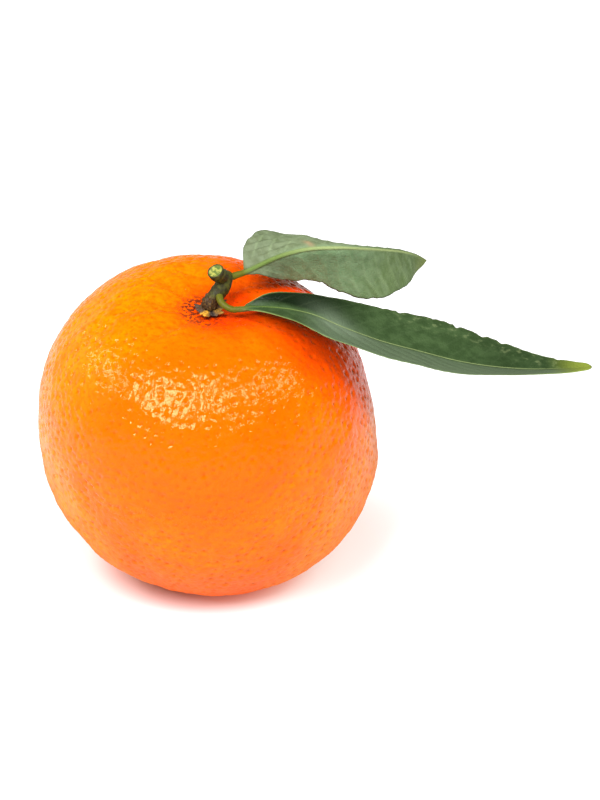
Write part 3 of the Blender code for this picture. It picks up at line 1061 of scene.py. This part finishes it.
@dataclass
class Twig:
    """The short cut twig: a trunk out of the calyx, a knot, and a stub with the cut.

    The corky foot ends between the two heights of cork_top, and the cut wood between the two of cut_radius.
    The grain is how fine its skin is.
    """

    fruit: Fruit
    calyx: Calyx
    foot_radius: float = 1.45
    foot_rise: float = 0.7
    route: Route = (
        ((1.8, -6.4, 59.1), 1.40),
        ((3.2, -5.9, 60.7), 1.60),
        ((3.8, -5.6, 62.0), 1.40),
        ((3.8, -5.7, 62.9), 1.30),
    )
    stub_route: Route = (
        ((3.8, -5.3, 62.5), 1.20),
        ((3.2, -6.4, 63.2), 1.35),
        ((2.4, -7.8, 64.0), 1.50),
        ((2.0, -8.3, 65.0), 1.62),
    )
    knot: Point = (3.75, -5.6, 62.5)
    knot_radius: float = 1.45
    cork_top: tuple[float, float] = (59.0, 60.2)
    cut_radius: tuple[float, float] = (1.2, 1.38)
    cut_depth: float = 0.22
    grain: float = 0.12
    sides: int = 48
    relief: Relief = Relief(0.5, 6e6, 0.16, 0.05, 0.5, swell=(0.1, 1.0), wrinkle=(0.0, 1.0), seed=3)

    def tube(self, route: np.ndarray) -> tuple[np.ndarray, list[list[int]]]:
        """Makes a round rod.

        Args:
            route: Its x, y, z and radius, one place a row.

        Returns:
            Its points and its faces.
        """
        line = flowing(route, 10)
        along = unit(np.gradient(line[:, :3], axis=0))
        level = unit(np.cross(along, (0.3, 0.9, 0.1)))
        upright = np.cross(along, level)
        turn = np.linspace(0, 2 * np.pi, self.sides, endpoint=False)[None, :, None]
        round_it = np.cos(turn) * level[:, None, :] + np.sin(turn) * upright[:, None, :]
        rows = line[:, None, :3] + line[:, None, 3:] * round_it
        return rows.reshape(-1, 3), loft(rows)

    def fused(self, stub: np.ndarray) -> bpy.types.Object:
        """Fuses the trunk, the stub and the knot into one skin.

        Args:
            stub: The stub's places and radii, one a row.

        Returns:
            The bare twig.
        """
        above = 2 * PIECE_GAP + self.calyx.thickness
        foot = self.fruit.basin(self.fruit.stem_place()[None, :]) + (0, 0, above)
        feet = self.fruit.to_world(np.concatenate([foot, foot + (0, 0, self.foot_rise)]))
        root = [[*place, self.foot_radius] for place in feet]
        shape = bmesh.new()
        for route in (np.concatenate([root, rows_of(self.route)]), stub):
            points, faces = self.tube(route)
            corners = [shape.verts.new(p) for p in points]
            for face in faces:
                shape.faces.new([corners[k] for k in face])
        place = Matrix.Translation(self.knot)
        bmesh.ops.create_uvsphere(shape, u_segments=32, v_segments=24, radius=self.knot_radius, matrix=place)
        bmesh.ops.recalc_face_normals(shape, faces=shape.faces)
        bmesh.ops.scale(shape, vec=(MM, MM, MM), verts=shape.verts)
        mesh = bpy.data.meshes.new("twig")
        shape.to_mesh(mesh)
        shape.free()
        obj = bpy.data.objects.new("twig", mesh)
        bpy.context.scene.collection.objects.link(obj)
        fuse = obj.modifiers.new("fuse", "REMESH")
        fuse.mode = "VOXEL"
        fuse.voxel_size = self.grain * MM
        soften = obj.modifiers.new("soften", "SMOOTH")
        soften.iterations = 3
        bake(obj)
        return obj

    def build(self) -> bpy.types.Object:
        """Makes the twig, wrinkled and dressed.

        Returns:
            The twig.
        """
        stub = rows_of(self.stub_route)
        obj = self.fused(stub)
        end = stub[-1, :3]
        way = unit(stub[-1, :3] - stub[-2, :3])
        places = read(obj.data, "vertices", "co") / MM
        behind = (places - end) @ way
        aside = np.linalg.norm(places - end - behind[:, None] * way, axis=1)
        face = smooth_step(-0.30, -0.16, behind) * (aside < 1.9)
        wood = face * (1 - smooth_step(*self.cut_radius, aside))
        cork = 1 - smooth_step(*self.cork_top, places[:, 2] + 0.5 * rough(places, 1.2, 2, 4.0))
        bark = (1 - face) * (0.10 + 0.22 * cork)
        wrinkle = rough(places * (1, 1, 0.3), 0.7, 2, 9.0) * bark
        places = places + read(obj.data, "vertex_normals", "vector") * wrinkle[:, None]
        places = places - way * (self.cut_depth * wood)[:, None]
        move_to(obj.data, places)
        store(obj.data, {"room": (1 - face) * (1 - cork) * 0.8, "cork": cork, "cut": wood})
        self.relief.spread(obj, TwigFinish().material())
        return obj


@dataclass(frozen=True)
class Station:
    """A leaf's form at one place along it.

    The place is a share of the blade's length, and the folds lead away from the face, in degrees.
    """

    share: float
    rib: Point
    back_width: float
    front_width: float
    back_fold: float
    front_fold: float


@dataclass
class Rows:
    """A leaf laid out in rows across it, from the foot of its stalk to its tip.

    Line is the middle of each row, face the way that the leaf faces there, and across the way to its back
    edge. Share is below 0 on the stalk, and rib is its radius or the rib's. The widths and folds, in radians,
    are those behind and in front.
    """

    line: np.ndarray
    face: np.ndarray
    across: np.ndarray
    share: np.ndarray
    rib: np.ndarray
    widths: list[np.ndarray]
    folds: list[np.ndarray]


@dataclass
class Sheet:
    """A leaf's middle surface, each row running from its front edge to its back edge.

    At each point of it, x is the distance from the rib, below 0 in front, out is that over the half width,
    and place is the share of the blade's length.
    """

    middle: np.ndarray
    normal: np.ndarray
    x: np.ndarray
    out: np.ndarray
    place: np.ndarray


@dataclass
class Leaf:
    """A leaf with its stalk, as one skin drawn over rings of points.

    The rib stands proud on the underside, and sinks by rib_sink into the upper side. A notch is a place, a
    depth and a width in the back edge. The depths of the teeth are over the half width.
    """

    name: str
    node: str
    slot: Slot
    faces: Point
    underside: bool
    stalk: Route
    stations: tuple[Station, ...]
    finish: LeafFinish
    notches: tuple[tuple[float, float, float], ...] = ()
    stain_place: float = 0.0
    ripple_height: float = 0.0
    rib_root: float = 0.52
    rib_tip: float = 0.10
    half_thickness: float = 0.17
    rib_sink: float = 0.86
    fold_rounding: float = 0.22
    tooth_length: float = 5.4
    tooth_depth: float = 0.03
    fine_depth: float = 0.009
    row_step: float = 0.36
    half_cells: int = 50
    veins: Veins = Veins()

    def form_at(self, shares: np.ndarray) -> np.ndarray:
        """Reads the stations along a smooth curve.

        Args:
            shares: Shares of the blade's length.

        Returns:
            For each, the rib's place, the half widths and the folds.
        """
        table = np.array(
            [(s.share, *s.rib, s.back_width, s.front_width, s.back_fold, s.front_fold) for s in self.stations]
        )
        keys, values = table[:, 0], table[:, 1:]
        slopes = np.gradient(values, keys, axis=0)
        k = np.clip(np.searchsorted(keys, shares) - 1, 0, len(keys) - 2)
        span = (keys[k + 1] - keys[k])[:, None]
        t = np.clip((shares - keys[k])[:, None] / span, 0, 1)
        start = (1 + 2 * t) * (1 - t) ** 2 * values[k] + t * (1 - t) ** 2 * span * slopes[k]
        end = (3 - 2 * t) * t**2 * values[k + 1] - (1 - t) * t**2 * span * slopes[k + 1]
        return start + end

    def length(self) -> float:
        """The blade's length along its rib."""
        ribs = np.array([s.rib for s in self.stations])
        return float(np.linalg.norm(np.diff(ribs, axis=0), axis=1).sum())

    def half_widths(self, shares: np.ndarray, form: np.ndarray) -> list[np.ndarray]:
        """Cuts the blade's outline, with its closed tip, teeth and notches.

        Args:
            shares: The rows' shares of the blade's length.
            form: The leaf's form at each.

        Returns:
            The half widths, behind and in front.
        """
        length = self.length()
        closing = np.sqrt(np.clip(1 - ((shares - 0.985) / 0.0151) ** 2 * (shares > 0.985), 0.002, 1))
        beat = shares * length / self.tooth_length + 0.35 * np.sin(7 * shares)
        dip = (1 - np.abs(np.sin(np.pi * beat))) ** 2
        fine = np.sin(2 * np.pi * shares * length / 1.9 + 2.5 * np.sin(9 * shares)) * np.sin(23 * shares + 1)
        teeth = 1 - self.tooth_depth * dip - self.fine_depth * fine * smooth_step(0.2, 0.4, shares)
        back, front = (form[:, column] * (teeth * closing) for column in (3, 4))
        for where, depth, reach in self.notches:
            away = (shares - where) * length
            back = back - depth * bump(away, reach) * (away > -reach)
        return [np.maximum(width, 0.02) for width in (back, front)]

    def rows(self) -> Rows:
        """Lays out the stalk and the blade.

        Returns:
            The leaf's rows.
        """
        shares = np.linspace(0, 1, round(self.length() / self.row_step))
        form = self.form_at(shares)
        guide = np.concatenate([rows_of(self.stalk), [[*form[0, :3], self.rib_root]]])
        stalk = flowing(guide, 7)[:-1]
        joint = len(stalk)
        line = np.concatenate([stalk[:, :3], form[:, :3]])
        near = slice(joint - 5, joint + 6)
        for _ in range(12):
            smooth = (line[:-2] + 2 * line[1:-1] + line[2:]) / 4
            line[1:-1][near] = smooth[near]
        along = unit(np.gradient(line, axis=0))
        face = unit(np.array(self.faces) - along * (along @ np.array(self.faces))[:, None])
        rib = self.rib_root + (self.rib_tip - self.rib_root) * shares**0.8
        return Rows(
            line=line,
            face=face,
            across=np.cross(face, along),
            share=np.concatenate([-np.linspace(1, 0, joint, endpoint=False) * 0.1, shares]),
            rib=np.concatenate([stalk[:, 3], rib]),
            widths=[np.concatenate([stalk[:, 3], width]) for width in self.half_widths(shares, form)],
            folds=[np.radians(np.concatenate([np.full(joint, fold[0]), fold])) for fold in form.T[5:]],
        )

    def sheet(self, rows: Rows) -> Sheet:
        """Folds the blade out from the rib on both sides.

        Args:
            rows: The leaf's rows.

        Returns:
            Its middle surface.
        """
        step = np.linspace(0, 1, self.half_cells + 1)
        spread = 0.36 * step + 0.64 * step**2
        line, face, across = (part[:, None, :] for part in (rows.line, rows.face, rows.across))
        halves = []
        for sign, width, fold in zip((1, -1), rows.widths, rows.folds):
            turn, edge = (
                fold[:, None] * smooth_step(-self.fold_rounding, self.fold_rounding, where)[None, :]
                for where in ((spread[1:] + spread[:-1]) / 2, spread[1:])
            )
            move = sign * across * np.cos(turn)[..., None] - face * np.sin(turn)[..., None]
            stride = width[:, None] * np.diff(spread)[None, :]
            middle = line + np.cumsum(move * stride[..., None], axis=1)
            normal = face * np.cos(edge)[..., None] + sign * across * np.sin(edge)[..., None]
            x = width[:, None] * spread[1:][None, :]
            halves.append((middle, normal, sign * x, x / width[:, None]))
        rib = np.zeros((len(rows.line), 1))
        middle, normal, x, out = (
            np.concatenate([front[:, ::-1], centre, back], axis=1)
            for back, front, centre in zip(*halves, (line, face, rib, rib))
        )
        place = rows.share[:, None] * np.ones_like(x)
        wave = np.sin(2 * np.pi * x / 1.7 + 3 * np.sin(14 * place))
        wave = wave * bump(place - 0.12, 0.09) * bump(x - 4.4, 3.0)
        return Sheet(middle + normal * (self.ripple_height * wave)[..., None], normal, x, out, place)

    def skin(self, rows: Rows, sheet: Sheet) -> bpy.types.Object:
        """Draws the skin round the blade, the rib and the stalk.

        Args:
            rows: The leaf's rows.
            sheet: Its middle surface.

        Returns:
            The bare leaf.
        """
        rib = rows.rib[:, None]
        blade = self.half_thickness * np.sqrt(np.clip(1 - sheet.out**6, 0, 1))
        blade = blade * smooth_step(-0.02, 0.03, rows.share)[:, None]
        dome = np.sqrt(np.clip(1 - (sheet.x / rib) ** 2, 0, 1)) * rib
        sunk = dome * (1 - self.rib_sink * smooth_step(-0.02, 0.10, rows.share))[:, None]
        sides = [np.maximum(blade, dome), np.maximum(blade, sunk)]
        near, far = sides if self.underside else sides[::-1]
        points = ringed(
            sheet.middle + sheet.normal * near[..., None],
            sheet.middle - sheet.normal * far[..., None],
        )
        return new_object(self.name, points.reshape(-1, 3), loft(points))

    def marks(self, rows: Rows, sheet: Sheet) -> dict[str, np.ndarray]:
        """Works out what the leaf's trees read: places in metres, and where each tone lies, from 0 to 1.

        Args:
            rows: The leaf's rows.
            sheet: Its middle surface.

        Returns:
            The attributes of both sides by name.
        """
        x, out, place = sheet.x, sheet.out, sheet.place
        to_edge = (1 - out) * np.where(x > 0, rows.widths[0][:, None], rows.widths[1][:, None])
        rib_width = np.maximum(rows.rib[:, None] * (1.0 if self.underside else 0.6), 0.2)
        blade = smooth_step(-0.02, 0.03, rows.share)[:, None]
        room = smooth_step(0.5, 1.6, np.abs(x)) * smooth_step(0.2, 1.6, to_edge)
        # The back half near the base and the far part get painted shade, and the near half and a round area a
        # painted sheen.
        behind = smooth_step(0.3, 2.0, x) * (1 - smooth_step(0.18, 0.42, place))
        ahead = smooth_step(0.1, 1.4, -x) * smooth_step(0.12, 0.26, place)
        ahead = ahead * (1 - smooth_step(0.9, 1.0, place))
        sheen_patch = bump(place - 0.27 + 0.008 * x, 0.07) * bump(x + 0.3, 4.0)
        spot = bump(place - self.stain_place, 0.014) * bump(x - 2.0, 1.8)
        return {
            "along": place * self.length() * MM,
            "across": x * MM,
            "fade": room * smooth_step(0.02, 0.10, place),
            "rib": bump(x / rib_width, 0.75) * smooth_step(1.0, 0.8, place),
            "margin": bump(to_edge, 0.22) * blade * 0.8,
            "tip": smooth_step(0.89, 1.0, place),
            "shaded": behind + 0.35 * smooth_step(0.6, 0.8, place),
            "scars": (x > 0) * bump(to_edge - 1.5, 2.0) * smooth_step(0.4, 0.5, place),
            "stain": (0.7 if self.stain_place else 0.0) * spot,
            "bloom": np.clip(0.55 * ahead + 0.8 * sheen_patch, 0, 1),
            "stalk": 1 - smooth_step(-0.02, 0.015, place),
        }

    def build(self) -> bpy.types.Object:
        """Makes the leaf, veined and dressed.

        Returns:
            The leaf.
        """
        rows = self.rows()
        sheet = self.sheet(rows)
        obj = self.skin(rows, sheet)
        near = ringed(np.ones_like(sheet.x), np.zeros_like(sheet.x)).ravel()
        store(obj.data, {"upper": 1 - near if self.underside else near})
        store(obj.data, {name: ringed(mark, mark).ravel() for name, mark in self.marks(rows, sheet).items()})
        self.veins.spread(obj, self.finish.material())
        return obj


LONG_LEAF = Leaf(
    name="long_leaf",
    node="leaf_lower",
    slot=Slot.LEAF_FACE,
    faces=(0.0, 0.0, 1.0),
    underside=False,
    stalk=(
        ((2.4, -6.2, 59.8), 0.85),
        ((2.7, -7.6, 59.5), 0.70),
        ((3.0, -8.7, 58.7), 0.62),
        ((4.5, -9.5, 57.9), 0.60),
        ((5.8, -9.7, 57.7), 0.60),
    ),
    stations=(
        Station(0.00, (8.0, -9.6, 58.0), 1.0, 0.8, -50, -5),
        Station(0.04, (10.7, -10.0, 58.3), 2.7, 2.2, -45, -5),
        Station(0.10, (14.7, -10.4, 58.2), 4.6, 4.8, -22, -6),
        Station(0.18, (19.4, -10.7, 57.3), 7.2, 7.3, -9, -5),
        Station(0.30, (25.9, -11.4, 54.7), 9.6, 9.6, -11, -8),
        Station(0.41, (32.7, -11.5, 52.1), 10.8, 10.8, -13, -9),
        Station(0.52, (39.8, -11.4, 50.0), 11.3, 11.3, -14, -11),
        Station(0.64, (47.2, -11.7, 48.1), 10.8, 10.8, -14, -13),
        Station(0.76, (54.7, -11.7, 46.9), 8.4, 8.4, -14, -16),
        Station(0.89, (63.1, -11.4, 46.4), 4.2, 4.2, -15, -14),
        Station(0.96, (68.6, -11.0, 46.5), 2.3, 2.2, -12, -8),
        Station(1.00, (71.8, -10.7, 46.7), 1.3, 1.2, -5, -5),
    ),
    finish=LeafFinish("waxy_leaf_above"),
    notches=(
        (0.457, 0.50, 0.6),
        (0.548, 0.30, 0.4),
        (0.622, 0.75, 0.6),
        (0.706, 0.70, 0.8),
        (0.770, 0.55, 0.6),
        (0.925, 0.35, 0.5),
    ),
    tooth_depth=0.013,
)
SHORT_LEAF = Leaf(
    name="short_leaf",
    node="leaf_upper",
    slot=Slot.LEAF_UNDERSIDE,
    faces=(0.0, -0.906, 0.423),
    underside=True,
    stalk=(
        ((4.3, -5.1, 62.2), 0.80),
        ((5.6, -4.8, 62.6), 0.62),
        ((6.8, -4.6, 62.9), 0.60),
    ),
    stations=(
        Station(0.00, (7.5, -4.5, 63.1), 1.3, 0.6, 20, 10),
        Station(0.04, (9.3, -3.9, 63.8), 5.2, 1.4, 32, 12),
        Station(0.09, (11.4, -3.3, 64.7), 7.4, 4.0, 38, 40),
        Station(0.15, (13.9, -2.5, 65.5), 8.8, 6.6, 48, 54),
        Station(0.25, (18.5, -0.6, 66.0), 9.6, 8.8, 67, 56),
        Station(0.39, (24.5, 2.3, 65.2), 10.0, 9.6, 77, 54),
        Station(0.54, (29.5, 6.0, 63.5), 10.0, 10.6, 89, 46),
        Station(0.68, (33.8, 10.5, 61.4), 9.2, 10.2, 94, 26),
        Station(0.84, (37.8, 15.9, 58.7), 6.4, 7.2, 92, 2),
        Station(0.93, (40.2, 19.6, 56.5), 3.6, 4.5, 92, -6),
        Station(1.00, (42.1, 22.6, 54.3), 0.8, 0.8, 80, 0),
    ),
    finish=LeafFinish("matt_leaf_below", roughness=0.45, margin="#43522F", tip="#5D6836"),
    stain_place=0.283,
    ripple_height=0.28,
)


@dataclass(frozen=True)
class Softbox:
    """A softbox that faces the fruit.

    The azimuth runs from straight in front to the right, and the height is an angle too, both in degrees.
    Away and size are in metres, and the power is in watts.
    """

    name: str
    azimuth: float
    height: float
    away: float
    size: tuple[float, float]
    power: float
    hue: Point = (1.0, 1.0, 1.0)

    def build(self) -> None:
        """Sets the softbox up."""
        data = bpy.data.lights.new(self.name, "AREA")
        data.shape = "RECTANGLE"
        data.size, data.size_y = self.size
        data.energy = self.power
        data.color = self.hue
        lamp = bpy.data.objects.new(self.name, data)
        turn, rise = math.radians(self.azimuth), math.radians(self.height)
        way = Vector((math.sin(turn) * math.cos(rise), -math.cos(turn) * math.cos(rise), math.sin(rise)))
        lamp.location = Vector((0, 0, 0.03)) + way * self.away
        lamp.rotation_euler = way.to_track_quat("Z", "Y").to_euler()
        bpy.context.scene.collection.objects.link(lamp)


@dataclass
class Studio:
    """The pale floor, the soft lights, the pale room, and the camera at the photograph's angle.

    The camera is aimed along x, and upwards in its own picture from the aim height. The floor's painted
    contact shadow and the fruit's painted warm light on it have their middle at the place given for them, in
    metres.
    """

    elevation: float = 25.0
    lens: float = 135.0
    distance: float = 574.2
    aim: tuple[float, float] = (17.6, 4.98)
    aim_height: float = 29.4
    floor_reach: float = 4000.0
    painted_glow_middle: Point = (-0.0016, -0.0003, 0.0)
    softboxes: tuple[Softbox, ...] = (
        Softbox("softbox", -24.0, 46.0, 0.75, (0.30, 0.37), 9.6, (1.0, 1.0, 1.1)),
        Softbox("second_softbox", 30.0, 49.5, 0.8, (0.24, 0.25), 4.2, (1.0, 1.0, 1.1)),
        Softbox("left_box", -86.0, 42.0, 0.8, (0.46, 0.13), 2.4),
        Softbox("right_box", 80.0, 46.0, 0.8, (0.30, 0.15), 1.9),
    )

    def camera(self) -> None:
        """Puts the camera where the photograph was taken from."""
        tilt = math.radians(self.elevation)
        up = Vector((0, math.sin(tilt), math.cos(tilt)))
        back = Vector((0, -math.cos(tilt), math.sin(tilt)))
        place = Vector((self.aim[0], 0, self.aim_height)) + self.aim[1] * up + self.distance * back
        data = bpy.data.cameras.new("camera")
        data.lens = self.lens
        data.sensor_width = 36.0
        data.clip_end = 50.0
        camera = bpy.data.objects.new("camera", data)
        camera.matrix_world = Matrix.Translation(place * MM) @ Matrix.Rotation(math.pi / 2 - tilt, 4, "X")
        bpy.context.scene.collection.objects.link(camera)
        bpy.context.scene.camera = camera

    def floor(self) -> None:
        """Lays the pale paper, glowing, with a painted contact shadow and the fruit's warm light painted
        round it.
        """
        corners = np.array([(-1.0, -1.0, 0.0), (1.0, -1.0, 0.0), (1.0, 1.0, 0.0), (-1.0, 1.0, 0.0)])
        floor = new_object("floor", self.floor_reach * corners, [[0, 1, 2, 3]])
        # To the eye the paper is matt and nearly white. It glows so that it stays white, and the glow carries
        # painted
        # light and shade: it fades out under the fruit, a painted contact shadow, and is red, then pale pink,
        # near it, painted light thrown by the fruit.
        paint = Paint("pale_paper")
        add = paint.add
        away = add(Step.DISTANCE, paint.place, self.painted_glow_middle)
        near_glow = add(Step.RISE, away, 0.008, 0.021, 0.0, 0.7)
        far_glow = add(Step.RISE, away, 0.031, 0.05, 0.0, 0.22)
        hue = paint.layers(
            "#FF9581",
            (add(Step.RISE, away, 0.014, 0.024), "#FFEFE7"),
            (add(Step.RISE, away, 0.026, 0.055), "#FFFFFF"),
        )
        sockets = {
            "Base Color": "#9A9A9A",
            "Roughness": 0.9,
            "Emission Color": hue,
            "Emission Strength": add(Step.ADD, near_glow, far_glow),
        }
        floor.data.materials.append(paint.finish(sockets))

    def room(self) -> None:
        """Makes the room: bright walls low down, dimmer above, and dimmest behind on the right."""
        world = bpy.data.worlds.new("white_room")
        world.use_nodes = True
        tree = world.node_tree
        add = partial(put, tree)
        way = add(Step.DIRECTION)
        lift = add(Step.RISE, add(Step.ALONG, way, (-0.9, 0.43, 0.0)), 0.4, 0.9, 0.0, 0.35)
        wall = add(Step.RISE, add(Step.SUBTRACT, add(Step.HEIGHT, way), lift), 0.15, 0.35, 0.95, 0.14)
        dim = add(Step.RISE, add(Step.ALONG, way, (0.6, 0.8, 0.0)), 0.3, 0.8, 1.0, 0.4)
        light = {"Color": "#FFF9CB", "Strength": add(Step.MULTIPLY, wall, dim)}
        wire(tree, tree.nodes["Background"], light)
        bpy.context.scene.world = world

    def build(self) -> None:
        """Sets up the floor, the lights, the room and the camera."""
        self.floor()
        for softbox in self.softboxes:
            softbox.build()
        self.room()
        bpy.context.scene.view_settings.view_transform = "Standard"
        self.camera()


def join_frame(piece: bpy.types.Object, node: str) -> None:
    """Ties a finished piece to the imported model.

    Args:
        piece: The piece.
        node: The CAD node that it stands for.
    """
    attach(piece, BODY)
    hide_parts(node)
    LOG.info("%s: %d faces, for %s", piece.name, len(piece.data.polygons), node)


def main() -> None:
    """Builds the tangerine and the studio round it."""
    logging.basicConfig(level=logging.INFO, format="%(message)s")
    fruit = Fruit()
    calyx = Calyx(fruit)
    twig = Twig(fruit, calyx)
    join_frame(fruit.build(), "fruit")
    join_frame(calyx.build(), "calyx")
    join_frame(twig.build(), "stem")
    for leaf in (LONG_LEAF, SHORT_LEAF):
        join_frame(leaf.build(), leaf.node)
    Studio().build()


if __name__ == "__main__":
    main()
